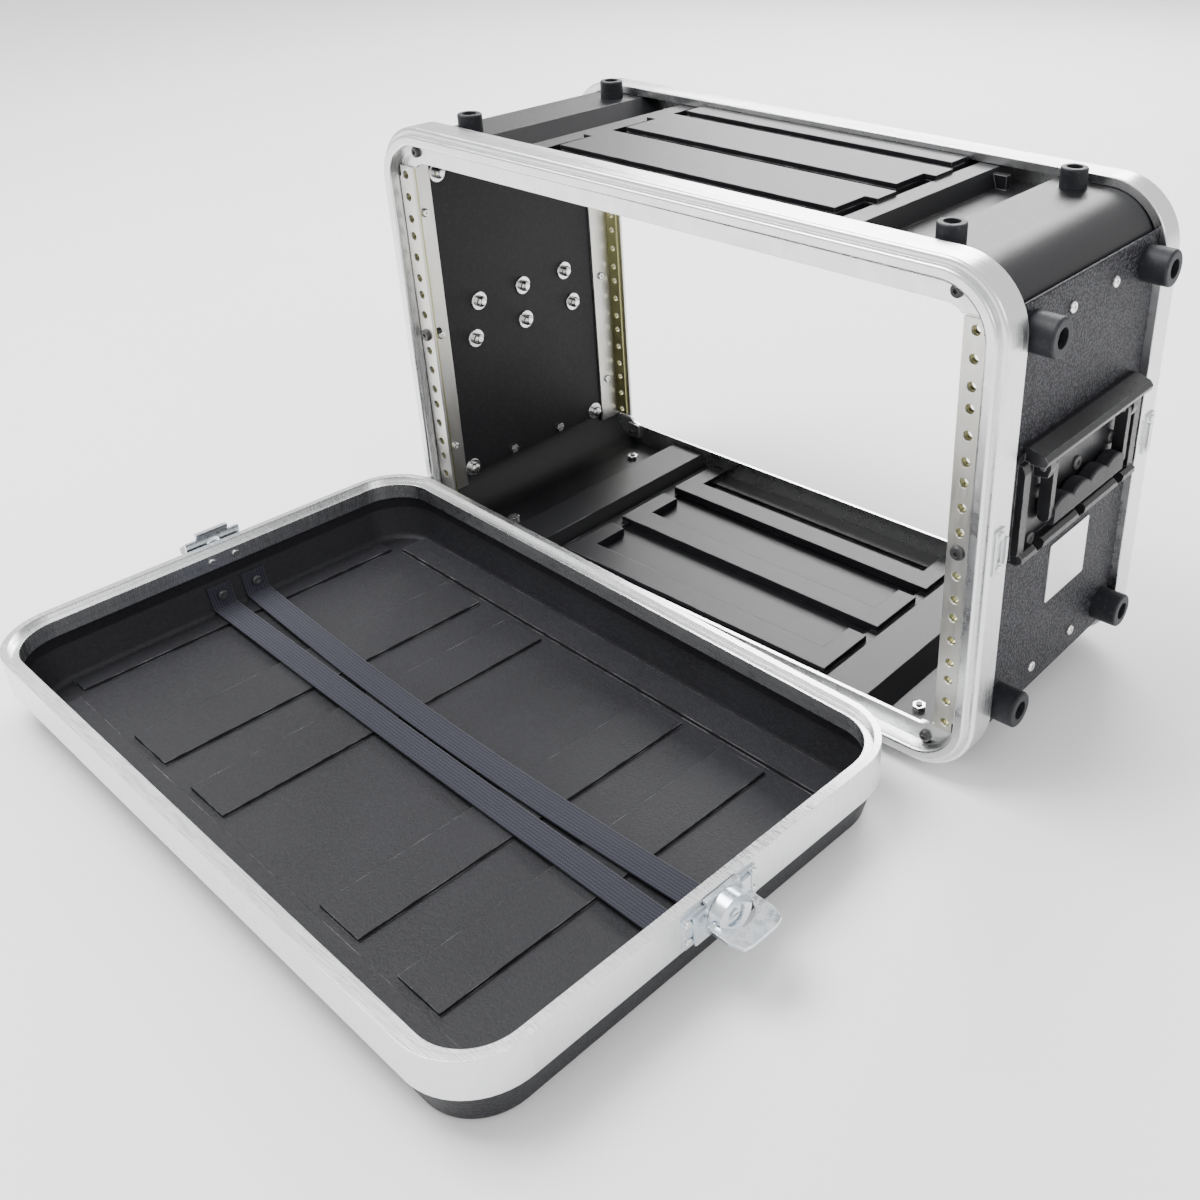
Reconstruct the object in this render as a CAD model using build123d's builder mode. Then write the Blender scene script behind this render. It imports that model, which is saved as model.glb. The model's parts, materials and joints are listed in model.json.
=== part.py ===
"""Six-unit equipment rack case: ribbed body with two aluminium valances, and its loose front lid."""
from build123d import *
import os
from math import cos, radians, sin

os.makedirs("parts", exist_ok=True)

# Frame: origin at the centre of the front rack hole pattern, +X right, +Y to the rear, +Z up.
# ---- driving dimensions (mm) ----
RACK_UNITS = 6
UNIT = 44.45
HOLE_SPAN_X = 465.1
HOLE_EDGE = 6.35
HOLE_STEP = 15.875
FACE_HOLE_R = 3.0
TAPPED_HOLE_R = 2.42

VAL_HALF_W = 254.0
VAL_HALF_H = 163.5
VAL_CORNER_R = 42.0
VAL_FRONT_Y = -7.0
VAL_SHOULDER_Y = -3.0
VAL_BACK_Y = 18.0
VAL_WALL = 5.95
TONGUE_OUT = 4.8
TONGUE_IN = 12.0
STRIP_OUT = 13.5
STRIP_IN = 26.0
STRIP_Y = 2.0
STRIP_T = 2.5

REAR_FACE_Y = 202.0
MID_Y = REAR_FACE_Y / 2

RAIL_INNER_X = 225.0
RAIL_OUTER_X = 240.0
RAIL_T = 2.0
RAIL_HALF_H = 133.4
RAIL_LEG = 24.0

SHELL_HALF_W = 246.0
SHELL_HALF_H = 157.0
SHELL_R = 33.0
SHELL_WALL = 3.0
SHELL_Y0 = 4.6
PAD_RISE = 2.5
PAD_END_X = 122.0
GROOVE_BOTTOM = 152.5
GROOVE_Y = (26.0, 88.5, 151.0)
GROOVE_W = 13.0
GROOVE_BRANCH_W = 9.0
GROOVE_BRANCH_L = 30.0
CHANNEL_IN_X = 136.0
CHANNEL_OUT_X = 178.0
CHANNEL_FLOOR_IN_X = 140.0
CHANNEL_FLOOR_OUT_X = 166.0
CHANNEL_BOTTOM = 145.0

PANEL_X = 248.0
PANEL_HALF_H = 138.0
BOARD_X = 240.0
BOARD_HALF_H = 126.6

FOOT_X = 195.0
FOOT_Y = (32.0, 170.0)
FOOT_R = 8.5
FOOT_H = 12.5
BUMPER_Y = (32.0, 170.0)
BUMPER_Z = 121.0
BUMPER_R = 11.5
BUMPER_H = 18.0

HANDLE_BOLTS = ((57.0, 15.0), (102.0, 15.0), (147.0, 15.0), (50.0, -14.0), (102.0, -14.0), (154.0, -14.0))
PANEL_SCREWS = ((76.0, 121.0), (128.0, 121.0), (76.0, -121.0), (128.0, -121.0))
HANDLE_Y0 = 26.0
HANDLE_Y1 = 178.0
HANDLE_Z0 = -21.0
HANDLE_Z1 = 48.0
BAIL_PIVOT_OUT = 8.0
BAIL_PIVOT_Z = 36.0
GRIP_Z = 2.0
BAIL_Y0 = 53.0
BAIL_Y1 = 151.0

LID_X = -33.5
LID_Y = -182.0
LID_RIM_Z = -115.5
LID_YAW = -2.87
LID_DEPTH = 54.0
LID_RING_H = 26.0
LID_TAPER_IN = 7.0
LID_WALL = 3.0
LID_BANDS = ((-238.0, -222.0), (-150.0, -109.0), (-76.0, -38.0), (67.0, 104.0), (140.0, 176.0))
LATCH_DROP = 13.0
LATCH_STROKE = 11.0

LID = Plane(
    origin=(LID_X, LID_Y, LID_RIM_Z),
    x_dir=(cos(radians(LID_YAW)), sin(radians(LID_YAW)), 0),
    z_dir=(0, 0, 1),
)


def front_plane(y):
    """Plane facing forward at depth y: local x is X, local y is Z, extruding by -d runs to the rear."""
    return Plane(origin=(0, y, 0), x_dir=(1, 0, 0), z_dir=(0, -1, 0))


def side_plane(x):
    """Plane facing +X at x: local x is Y, local y is Z."""
    return Plane(origin=(x, 0, 0), x_dir=(0, 1, 0), z_dir=(1, 0, 0))


def lid_side_plane(side, out):
    """Plane facing outwards on a short side of the lid, at a distance out from the valance centre."""
    origin = LID.from_local_coords(Vector(side * out, 0, -LATCH_DROP))
    return Plane(origin=origin, x_dir=LID.y_dir * side, z_dir=LID.x_dir * side)


def add_box(x0, x1, y0, y1, z0, z1, mode=Mode.ADD):
    with Locations(((x0 + x1) / 2, (y0 + y1) / 2, (z0 + z1) / 2)):
        Box(abs(x1 - x0), abs(y1 - y0), abs(z1 - z0), mode=mode)


def rack_hole_heights():
    """Heights of the universal rack holes: three to a unit, 15.875, 15.875 and 12.7 apart."""
    base = -RACK_UNITS * UNIT / 2
    heights = []
    for unit in range(RACK_UNITS):
        for step in range(3):
            heights.append(base + unit * UNIT + HOLE_EDGE + step * HOLE_STEP)
    return heights


def round_corner(sketch, x, y, radius):
    corner = sketch.vertices().sort_by_distance(sketch.workplanes[0].from_local_coords(Vector(x, y, 0)))[0]
    fillet(corner, radius)


def rounded_loop(half_w, half_h, radius):
    """Rounded rectangle drawn as lines and arcs, starting at the middle of its +x side."""
    start = Line((half_w, 0), (half_w, half_h - radius))
    arc = JernArc(start=start @ 1, tangent=start % 1, radius=radius, arc_size=90)
    top = Line(arc @ 1, (-half_w + radius, half_h))
    arc = JernArc(start=top @ 1, tangent=top % 1, radius=radius, arc_size=90)
    far = Line(arc @ 1, (-half_w, -half_h + radius))
    arc = JernArc(start=far @ 1, tangent=far % 1, radius=radius, arc_size=90)
    bottom = Line(arc @ 1, (half_w - radius, -half_h))
    arc = JernArc(start=bottom @ 1, tangent=bottom % 1, radius=radius, arc_size=90)
    Line(arc @ 1, (half_w, 0))


# ======================= case valances =======================
def valance_section(x_edge):
    return (
        (x_edge, VAL_BACK_Y),
        (x_edge, VAL_SHOULDER_Y),
        (x_edge - TONGUE_OUT, VAL_SHOULDER_Y),
        (x_edge - TONGUE_OUT, VAL_FRONT_Y),
        (x_edge - TONGUE_IN, VAL_FRONT_Y),
        (x_edge - STRIP_OUT, STRIP_Y),
        (x_edge - STRIP_IN, STRIP_Y),
        (x_edge - STRIP_IN, STRIP_Y + STRIP_T),
        (x_edge - VAL_WALL, STRIP_Y + STRIP_T),
        (x_edge - VAL_WALL, VAL_BACK_Y),
    )


with BuildPart() as front_valance:
    with BuildLine(front_plane(0)) as valance_path:
        rounded_loop(VAL_HALF_W, VAL_HALF_H, VAL_CORNER_R)
    with BuildSketch(Plane.XY) as valance_profile:
        with BuildLine():
            Polyline(*valance_section(VAL_HALF_W), close=True)
        make_face()
        round_corner(valance_profile, VAL_HALF_W, VAL_SHOULDER_Y, 2.4)
        round_corner(valance_profile, VAL_HALF_W - TONGUE_OUT, VAL_FRONT_Y, 1.6)
        round_corner(valance_profile, VAL_HALF_W - TONGUE_IN, VAL_FRONT_Y, 2.0)
        round_corner(valance_profile, VAL_HALF_W, VAL_BACK_Y, 1.0)
    sweep(path=valance_path.wire())
    for side in (-1, 1):
        add_box(
            side * (RAIL_INNER_X - 2),
            side * (VAL_HALF_W - STRIP_OUT),
            STRIP_Y - 0.5,
            STRIP_Y + STRIP_T + 0.5,
            -RAIL_HALF_H - 0.2,
            RAIL_HALF_H + 0.2,
            mode=Mode.SUBTRACT,
        )
    with BuildSketch(front_plane(STRIP_Y)):
        with Locations(*[(sx * 219.0, sz * 145.0) for sx in (-1, 1) for sz in (-1, 1)]):
            Circle(2.1)
    extrude(amount=-(STRIP_T + 1), both=True, mode=Mode.SUBTRACT)
    with BuildSketch(side_plane(-VAL_HALF_W - 1)):
        with Locations((5.5, 10.8), (5.5, -10.8)):
            Circle(1.6)
    extrude(amount=2 * VAL_HALF_W + 2, mode=Mode.SUBTRACT)
front_valance.part.label = "front_valance"
export_step(front_valance.part, "parts/front_valance.step")

with BuildPart() as rear_valance:
    add(front_valance.part)
    mirror(about=front_plane(MID_Y), mode=Mode.REPLACE)
rear_valance.part.label = "rear_valance"
export_step(rear_valance.part, "parts/rear_valance.step")

# joiner plates bridging the butt joint of each bent valance, inside the top strip
with BuildPart() as valance_joiners:
    joiner_z0 = VAL_HALF_H - STRIP_IN + 1.5
    joiner_z1 = SHELL_HALF_H - SHELL_WALL - 0.5
    joiner_y = STRIP_Y + STRIP_T
    rear_y = REAR_FACE_Y - joiner_y
    add_box(-20, 20, joiner_y, joiner_y + 1.6, joiner_z0, joiner_z1)
    add_box(-20, 20, rear_y - 1.6, rear_y, joiner_z0, joiner_z1)
    fillet(valance_joiners.edges().filter_by(Axis.Y), 2)
valance_joiners.part.label = "valance_joiners"
export_step(valance_joiners.part, "parts/valance_joiners.step")

# ======================= body shell =======================
def sleeve(outer_w, outer_h, radius, y0, y1, mode=Mode.ADD):
    with BuildSketch(front_plane(y0)) as outline:
        RectangleRounded(2 * outer_w, 2 * outer_h, radius)
    extrude(outline.sketch, amount=-(y1 - y0), mode=mode)


def channel_wedge(side, up, shrink, bottom, top, mode):
    """One transverse channel, its walls moved inwards by shrink."""
    with BuildSketch(front_plane(SHELL_Y0 - 1)) as wedge:
        with BuildLine():
            Polyline(
                (side * (CHANNEL_IN_X + shrink), up * top),
                (side * (CHANNEL_FLOOR_IN_X + shrink), up * bottom),
                (side * (CHANNEL_FLOOR_OUT_X - shrink), up * bottom),
                (side * (CHANNEL_OUT_X - shrink), up * top),
                close=True,
            )
        make_face()
    extrude(wedge.sketch, amount=-(REAR_FACE_Y - 2 * SHELL_Y0 + 2), mode=mode)


def groove_cut(up, y_front, grow, depth_z, top_z, mode):
    """Long groove with its two end branches; grow widens it for the inner skin."""
    z0 = up * depth_z
    z1 = up * top_z
    low = min(z0, z1)
    high = max(z0, z1)
    half = PAD_END_X
    add_box(-half - grow, half + grow, y_front - grow, y_front + GROOVE_W + grow, low, high, mode=mode)
    for side in (-1, 1):
        x_in = side * (half - GROOVE_BRANCH_W - grow)
        x_out = side * (half + grow)
        y_end = min(y_front + GROOVE_W + GROOVE_BRANCH_L + grow, REAR_FACE_Y - SHELL_Y0)
        add_box(x_in, x_out, y_front, y_end, low, high, mode=mode)


with BuildPart() as shell:
    sleeve(SHELL_HALF_W, SHELL_HALF_H, SHELL_R, SHELL_Y0, REAR_FACE_Y - SHELL_Y0)
    for up in (-1, 1):
        add_box(
            -PAD_END_X,
            PAD_END_X,
            VAL_BACK_Y + 1,
            REAR_FACE_Y - VAL_BACK_Y - 1,
            up * (SHELL_HALF_H - 1),
            up * (SHELL_HALF_H + PAD_RISE),
        )
    sleeve(
        SHELL_HALF_W - SHELL_WALL,
        SHELL_HALF_H - SHELL_WALL,
        SHELL_R - SHELL_WALL,
        SHELL_Y0 - 1,
        REAR_FACE_Y - SHELL_Y0 + 1,
        mode=Mode.SUBTRACT,
    )
    for up in (-1, 1):
        add_box(
            -PAD_END_X + SHELL_WALL,
            PAD_END_X - SHELL_WALL,
            VAL_BACK_Y + 1 + SHELL_WALL,
            REAR_FACE_Y - VAL_BACK_Y - 1 - SHELL_WALL,
            up * (SHELL_HALF_H - SHELL_WALL - 1),
            up * (SHELL_HALF_H + PAD_RISE - SHELL_WALL),
            mode=Mode.SUBTRACT,
        )
        for y_front in GROOVE_Y:
            groove_cut(up, y_front, SHELL_WALL, GROOVE_BOTTOM - SHELL_WALL, SHELL_HALF_H - 1, Mode.ADD)
        for y_front in GROOVE_Y:
            groove_cut(up, y_front, 0, GROOVE_BOTTOM, SHELL_HALF_H + PAD_RISE + 1, Mode.SUBTRACT)
        for side in (-1, 1):
            inner_top = SHELL_HALF_H - SHELL_WALL + 0.5
            channel_wedge(side, up, -SHELL_WALL, CHANNEL_BOTTOM - SHELL_WALL, inner_top, Mode.ADD)
            channel_wedge(side, up, 0, CHANNEL_BOTTOM, SHELL_HALF_H + 1, Mode.SUBTRACT)
    trim_y = REAR_FACE_Y - SHELL_Y0
    add_box(-260, 260, SHELL_Y0 - 6, SHELL_Y0, -170, 170, mode=Mode.SUBTRACT)
    add_box(-260, 260, trim_y, trim_y + 6, -170, 170, mode=Mode.SUBTRACT)
    for side in (-1, 1):
        for up in (-1, 1):
            add_box(
                side * (CHANNEL_IN_X + 1),
                side * (CHANNEL_IN_X + 11),
                175,
                180,
                up * (CHANNEL_BOTTOM - 1),
                up * (SHELL_HALF_H - 3),
            )
    with BuildSketch(side_plane(-SHELL_HALF_W - 1)):
        with Locations(*[(y, sz * BUMPER_Z) for y in BUMPER_Y for sz in (-1, 1)]):
            Circle(3.1)
        with Locations(*PANEL_SCREWS):
            Circle(2.1)
        with Locations(*HANDLE_BOLTS):
            Circle(2.6)
    extrude(amount=2 * SHELL_HALF_W + 2, mode=Mode.SUBTRACT)
    with BuildSketch(Plane.XY.offset(-SHELL_HALF_H - 1)):
        with Locations(*[(sx * FOOT_X, y) for y in FOOT_Y for sx in (-1, 1)]):
            Circle(2.1)
    extrude(amount=2 * SHELL_HALF_H + 2, mode=Mode.SUBTRACT)
shell.part.label = "shell"
export_step(shell.part, "parts/shell.step")


# ======================= side panels and boards =======================
def side_sheet(x0, x1, half_h, y0, y1):
    """Flat sheet on one side wall, drilled for the bumpers, handle bolts and small screws."""
    with BuildSketch(side_plane(min(x0, x1))) as sheet:
        with Locations(((y0 + y1) / 2, 0)):
            Rectangle(y1 - y0, 2 * half_h)
        with Locations(*[(y, sz * BUMPER_Z) for y in BUMPER_Y for sz in (-1, 1)]):
            Circle(3.1, mode=Mode.SUBTRACT)
        with Locations(*PANEL_SCREWS):
            Circle(2.1, mode=Mode.SUBTRACT)
        with Locations(*HANDLE_BOLTS):
            Circle(2.6, mode=Mode.SUBTRACT)
    extrude(sheet.sketch, amount=abs(x1 - x0))


with BuildPart() as side_panel_right:
    side_sheet(SHELL_HALF_W, PANEL_X, PANEL_HALF_H, SHELL_Y0, REAR_FACE_Y - SHELL_Y0)
    chamfer(side_panel_right.faces().sort_by(Axis.X)[-1].edges().filter_by(Axis.Y), 0.8)
    for up in (-1, 1):
        for y0, y1 in ((0, VAL_BACK_Y + 0.3), (REAR_FACE_Y - VAL_BACK_Y - 0.3, REAR_FACE_Y)):
            add_box(SHELL_HALF_W - 1, PANEL_X + 1, y0, y1, up * 120.5, up * 140, mode=Mode.SUBTRACT)
side_panel_right.part.label = "side_panel_right"
export_step(side_panel_right.part, "parts/side_panel_right.step")

with BuildPart() as side_panel_left:
    add(side_panel_right.part)
    mirror(about=Plane.YZ, mode=Mode.REPLACE)
side_panel_left.part.label = "side_panel_left"
export_step(side_panel_left.part, "parts/side_panel_left.step")

BOARD_OUT_X = SHELL_HALF_W - SHELL_WALL - 0.05
with BuildPart() as side_board_right:
    side_sheet(BOARD_X, BOARD_OUT_X, BOARD_HALF_H, SHELL_Y0 + 0.2, REAR_FACE_Y - SHELL_Y0 - 0.2)
    chamfer(side_board_right.faces().sort_by(Axis.X)[-1].edges().filter_by(Axis.Y), 1.8)
    with BuildSketch(side_plane(BOARD_X - 1)):
        for y in (16.0, REAR_FACE_Y - 16.0):
            with Locations(*[(y, z) for z in (-95.0, 0.0, 95.0)]):
                Circle(1.8)
    extrude(amount=SHELL_WALL + 2, mode=Mode.SUBTRACT)
side_board_right.part.label = "side_board_right"
export_step(side_board_right.part, "parts/side_board_right.step")

with BuildPart() as side_board_left:
    add(side_board_right.part)
    mirror(about=Plane.YZ, mode=Mode.REPLACE)
side_board_left.part.label = "side_board_left"
export_step(side_board_left.part, "parts/side_board_left.step")

# ======================= rack rails =======================
with BuildPart() as rail_front_right:
    add_box(RAIL_INNER_X, RAIL_OUTER_X, 0, RAIL_T, -RAIL_HALF_H, RAIL_HALF_H)
    add_box(RAIL_OUTER_X - RAIL_T, RAIL_OUTER_X, 0, RAIL_LEG, -RAIL_HALF_H, RAIL_HALF_H)
    with BuildSketch(front_plane(-1)):
        with Locations(*[(HOLE_SPAN_X / 2, z) for z in rack_hole_heights()]):
            Circle(FACE_HOLE_R)
    extrude(amount=-(RAIL_T + 2), mode=Mode.SUBTRACT)
    with BuildSketch(side_plane(RAIL_OUTER_X - RAIL_T - 1)):
        with Locations(*[(16.0, z) for z in (-95.0, 0.0, 95.0)]):
            Circle(1.8)
    extrude(amount=RAIL_T + 2, mode=Mode.SUBTRACT)
    fillet(rail_front_right.edges().filter_by(Axis.Z).sort_by_distance((RAIL_OUTER_X, 0, 0))[0], 1.2)
    for up in (-1, 1):
        add_box(RAIL_OUTER_X - 2.5, RAIL_OUTER_X + 1, -1, RAIL_T, up * 125.4, up * 134, mode=Mode.SUBTRACT)
rail_front_right.part.label = "rail_front_right"
export_step(rail_front_right.part, "parts/rail_front_right.step")

with BuildPart() as rail_front_left:
    add(rail_front_right.part)
    mirror(about=Plane.YZ, mode=Mode.REPLACE)
rail_front_left.part.label = "rail_front_left"
export_step(rail_front_left.part, "parts/rail_front_left.step")

with BuildPart() as rail_rear_right:
    add(rail_front_right.part)
    mirror(about=front_plane(MID_Y), mode=Mode.REPLACE)
rail_rear_right.part.label = "rail_rear_right"
export_step(rail_rear_right.part, "parts/rail_rear_right.step")

with BuildPart() as rail_rear_left:
    add(rail_front_left.part)
    mirror(about=front_plane(MID_Y), mode=Mode.REPLACE)
rail_rear_left.part.label = "rail_rear_left"
export_step(rail_rear_left.part, "parts/rail_rear_left.step")

# tapped strips behind the rail faces, one node for the front pair and one for the rear pair
with BuildPart() as tapped_strips_front:
    for side in (-1, 1):
        add_box(side * (RAIL_INNER_X + 2.2), side * (RAIL_OUTER_X - RAIL_T), RAIL_T, RAIL_T + 3, -131, 131)
    with BuildSketch(front_plane(RAIL_T - 1)):
        with Locations(*[(sx * HOLE_SPAN_X / 2, z) for z in rack_hole_heights() for sx in (-1, 1)]):
            Circle(TAPPED_HOLE_R)
    extrude(amount=-5, mode=Mode.SUBTRACT)
tapped_strips_front.part.label = "tapped_strips_front"
export_step(tapped_strips_front.part, "parts/tapped_strips_front.step")

with BuildPart() as tapped_strips_rear:
    add(tapped_strips_front.part)
    mirror(about=front_plane(MID_Y), mode=Mode.REPLACE)
tapped_strips_rear.part.label = "tapped_strips_rear"
export_step(tapped_strips_rear.part, "parts/tapped_strips_rear.step")


# ======================= screws along X and Y =======================
def pan_head(model, radius, height, socket_r, socket_depth):
    """Low domed head standing on the current workplane, with a hexagonal socket."""
    with Locations((0, 0, height / 2)):
        Cylinder(radius, height)
    fillet(model.edges().sort_by(Axis.Z)[-1], height * 0.6)
    with BuildSketch(Plane.XY.offset(height)) as socket:
        RegularPolygon(socket_r, 6)
    extrude(socket.sketch, amount=-socket_depth, mode=Mode.SUBTRACT)


with BuildPart(mode=Mode.PRIVATE) as rail_screw_model:
    pan_head(rail_screw_model, 3.2, 2.0, 1.3, 1.0)
    with Locations((0, 0, -2.5)):
        Cylinder(1.75, 5.0)

with BuildPart() as rail_screws:
    for side in (-1, 1):
        for y in (16.0, REAR_FACE_Y - 16.0):
            for z in (-95.0, 0.0, 95.0):
                seat = Plane(
                    origin=(side * (RAIL_OUTER_X - RAIL_T), y, z), x_dir=(0, 1, 0), z_dir=(-side, 0, 0)
                )
                with Locations(seat.location):
                    add(rail_screw_model.part)
rail_screws.part.label = "rail_screws"
export_step(rail_screws.part, "parts/rail_screws.step")

with BuildPart(mode=Mode.PRIVATE) as rack_screw_model:
    pan_head(rack_screw_model, 4.6, 2.8, 1.8, 1.6)
    with Locations((0, 0, -6)):
        Cylinder(2.38, 12.0)

RACK_HEIGHTS = rack_hole_heights()
with BuildPart() as rack_screws:
    for side, index in ((1, 8), (-1, 9)):
        seat = Plane(origin=(side * HOLE_SPAN_X / 2, 0, RACK_HEIGHTS[index]), x_dir=(1, 0, 0), z_dir=(0, -1, 0))
        with Locations(seat.location):
            add(rack_screw_model.part)
rack_screws.part.label = "rack_screws"
export_step(rack_screws.part, "parts/rack_screws.step")

with BuildPart(mode=Mode.PRIVATE) as valance_screw_model:
    pan_head(valance_screw_model, 3.9, 2.6, 1.6, 1.5)
    with Locations((0, 0, -3.5)):
        Cylinder(2.05, 7.0)

with BuildPart() as valance_screws:
    for sx in (-1, 1):
        for sz in (-1, 1):
            front_seat = Plane(origin=(sx * 219.0, STRIP_Y, sz * 145.0), x_dir=(1, 0, 0), z_dir=(0, -1, 0))
            rear_seat = Plane(
                origin=(sx * 219.0, REAR_FACE_Y - STRIP_Y, sz * 145.0), x_dir=(1, 0, 0), z_dir=(0, 1, 0)
            )
            with Locations(front_seat.location, rear_seat.location):
                add(valance_screw_model.part)
valance_screws.part.label = "valance_screws"
export_step(valance_screws.part, "parts/valance_screws.step")

# corner brackets the valance screws bite into
with BuildPart() as corner_brackets:
    with BuildSketch(front_plane(STRIP_Y + STRIP_T)):
        with Locations(*[(sx * 218.5, sz * 144.0) for sx in (-1, 1) for sz in (-1, 1)]):
            RectangleRounded(13, 13, 2)
        with Locations(*[(sx * 219.0, sz * 145.0) for sx in (-1, 1) for sz in (-1, 1)]):
            Circle(2.1, mode=Mode.SUBTRACT)
    extrude(amount=-2.0)
    mirror(about=front_plane(MID_Y))
corner_brackets.part.label = "corner_brackets"
export_step(corner_brackets.part, "parts/corner_brackets.step")

# ======================= feet =======================
with BuildPart(mode=Mode.PRIVATE) as foot_model:
    Cylinder(FOOT_R, FOOT_H, align=(Align.CENTER, Align.CENTER, Align.MIN))
    fillet(foot_model.edges().sort_by(Axis.Z)[-1], 1.2)
    CounterBoreHole(radius=2.15, counter_bore_radius=5.0, counter_bore_depth=5.5)

with BuildPart(mode=Mode.PRIVATE) as foot_screw_model:
    pan_head(foot_screw_model, 4.2, 2.6, 1.5, 1.4)
    with Locations((0, 0, -7.0)):
        Cylinder(2.05, 14.0)

with BuildPart(mode=Mode.PRIVATE) as foot_nut_model:
    with BuildSketch(Plane.XY):
        RegularPolygon(4.6, 6)
        Circle(2.1, mode=Mode.SUBTRACT)
    extrude(amount=3.0)


def foot_seats(up, height):
    seats = []
    for sx in (-1, 1):
        for y in FOOT_Y:
            seat = Plane(origin=(sx * FOOT_X, y, up * height), x_dir=(1, 0, 0), z_dir=(0, 0, up))
            seats.append(seat.location)
    return seats


with BuildPart() as top_feet:
    with Locations(*foot_seats(1, SHELL_HALF_H)):
        add(foot_model.part)
top_feet.part.label = "top_feet"
export_step(top_feet.part, "parts/top_feet.step")

with BuildPart() as bottom_feet:
    with Locations(*foot_seats(-1, SHELL_HALF_H)):
        add(foot_model.part)
bottom_feet.part.label = "bottom_feet"
export_step(bottom_feet.part, "parts/bottom_feet.step")

SCREW_SEAT = SHELL_HALF_H + FOOT_H - 5.5
with BuildPart() as foot_screws:
    with Locations(*foot_seats(1, SCREW_SEAT), *foot_seats(-1, SCREW_SEAT)):
        add(foot_screw_model.part)
foot_screws.part.label = "foot_screws"
export_step(foot_screws.part, "parts/foot_screws.step")

NUT_SEAT = SHELL_HALF_H - SHELL_WALL
with BuildPart() as foot_nuts:
    with Locations(*foot_seats(1, NUT_SEAT - 3.0), *foot_seats(-1, NUT_SEAT - 3.0)):
        add(foot_nut_model.part)
foot_nuts.part.label = "foot_nuts"
export_step(foot_nuts.part, "parts/foot_nuts.step")


# ======================= bumpers and through-bolts =======================
def side_seats(x, points, inward):
    """Locations on both side walls with their z axis pointing outwards, or inwards."""
    seats = []
    for side in (-1, 1):
        facing = -side if inward else side
        for y, z in points:
            seat = Plane(origin=(side * x, y, z), x_dir=(0, 1, 0), z_dir=(facing, 0, 0))
            seats.append(seat.location)
    return seats


BUMPER_POINTS = [(y, sz * BUMPER_Z) for y in BUMPER_Y for sz in (-1, 1)]

with BuildPart(mode=Mode.PRIVATE) as bumper_model:
    Cylinder(BUMPER_R, BUMPER_H, align=(Align.CENTER, Align.CENTER, Align.MIN))
    fillet(bumper_model.edges().sort_by(Axis.Z)[-1], 1.6)
    CounterBoreHole(radius=3.1, counter_bore_radius=6.0, counter_bore_depth=7.0)

with BuildPart() as bumpers_right:
    with Locations(*side_seats(PANEL_X, BUMPER_POINTS, False)[4:]):
        add(bumper_model.part)
bumpers_right.part.label = "bumpers_right"
export_step(bumpers_right.part, "parts/bumpers_right.step")

with BuildPart() as bumpers_left:
    with Locations(*side_seats(PANEL_X, BUMPER_POINTS, False)[:4]):
        add(bumper_model.part)
bumpers_left.part.label = "bumpers_left"
export_step(bumpers_left.part, "parts/bumpers_left.step")

BOLT_END_X = BOARD_X - 2.6
with BuildPart(mode=Mode.PRIVATE) as bumper_bolt_model:
    pan_head(bumper_bolt_model, 5.2, 3.2, 2.2, 2.0)
    shank = PANEL_X + BUMPER_H - 7.0 - BOLT_END_X
    with Locations((0, 0, -shank / 2)):
        Cylinder(2.95, shank)

with BuildPart() as bumper_bolts:
    with Locations(*side_seats(PANEL_X + BUMPER_H - 7.0, BUMPER_POINTS, False)):
        add(bumper_bolt_model.part)
bumper_bolts.part.label = "bumper_bolts"
export_step(bumper_bolts.part, "parts/bumper_bolts.step")

with BuildPart(mode=Mode.PRIVATE) as handle_bolt_model:
    pan_head(handle_bolt_model, 4.6, 1.8, 1.7, 1.2)
    shank = PANEL_X + 2.0 - BOLT_END_X
    with Locations((0, 0, -shank / 2)):
        Cylinder(2.45, shank)

with BuildPart() as handle_bolts:
    with Locations(*side_seats(PANEL_X + 2.0, HANDLE_BOLTS, False)):
        add(handle_bolt_model.part)
handle_bolts.part.label = "handle_bolts"
export_step(handle_bolts.part, "parts/handle_bolts.step")

with BuildPart(mode=Mode.PRIVATE) as washer_model:
    with BuildSketch(Plane.XY):
        Circle(7.4)
        Circle(3.2, mode=Mode.SUBTRACT)
    extrude(amount=1.2)
    chamfer(washer_model.faces().sort_by(Axis.Z)[-1].outer_wire().edges(), 0.4)

with BuildPart() as inner_washers:
    with Locations(*side_seats(BOARD_X, list(HANDLE_BOLTS) + BUMPER_POINTS, True)):
        add(washer_model.part)
inner_washers.part.label = "inner_washers"
export_step(inner_washers.part, "parts/inner_washers.step")

with BuildPart(mode=Mode.PRIVATE) as cap_nut_model:
    with Locations((0, 0, 2.4)):
        Cylinder(4.4, 4.8)
    fillet(cap_nut_model.edges().sort_by(Axis.Z)[-1], 2.8)
    with Locations((0, 0, 0.75)):
        Cylinder(3.0, 1.5, mode=Mode.SUBTRACT)

with BuildPart() as cap_nuts:
    with Locations(*side_seats(BOARD_X - 1.2, list(HANDLE_BOLTS) + BUMPER_POINTS, True)):
        add(cap_nut_model.part)
cap_nuts.part.label = "cap_nuts"
export_step(cap_nuts.part, "parts/cap_nuts.step")

with BuildPart(mode=Mode.PRIVATE) as panel_screw_model:
    pan_head(panel_screw_model, 3.6, 2.2, 1.3, 1.2)
    shank = PANEL_X - BOARD_X + 2.4
    with Locations((0, 0, -shank / 2)):
        Cylinder(1.95, shank)

with BuildPart() as panel_screws:
    with Locations(*side_seats(PANEL_X, PANEL_SCREWS, False)):
        add(panel_screw_model.part)
panel_screws.part.label = "panel_screws"
export_step(panel_screws.part, "parts/panel_screws.step")

with BuildPart(mode=Mode.PRIVATE) as panel_nut_model:
    with BuildSketch(Plane.XY):
        RegularPolygon(3.9, 6)
        Circle(1.98, mode=Mode.SUBTRACT)
    extrude(amount=2.2)

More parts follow.
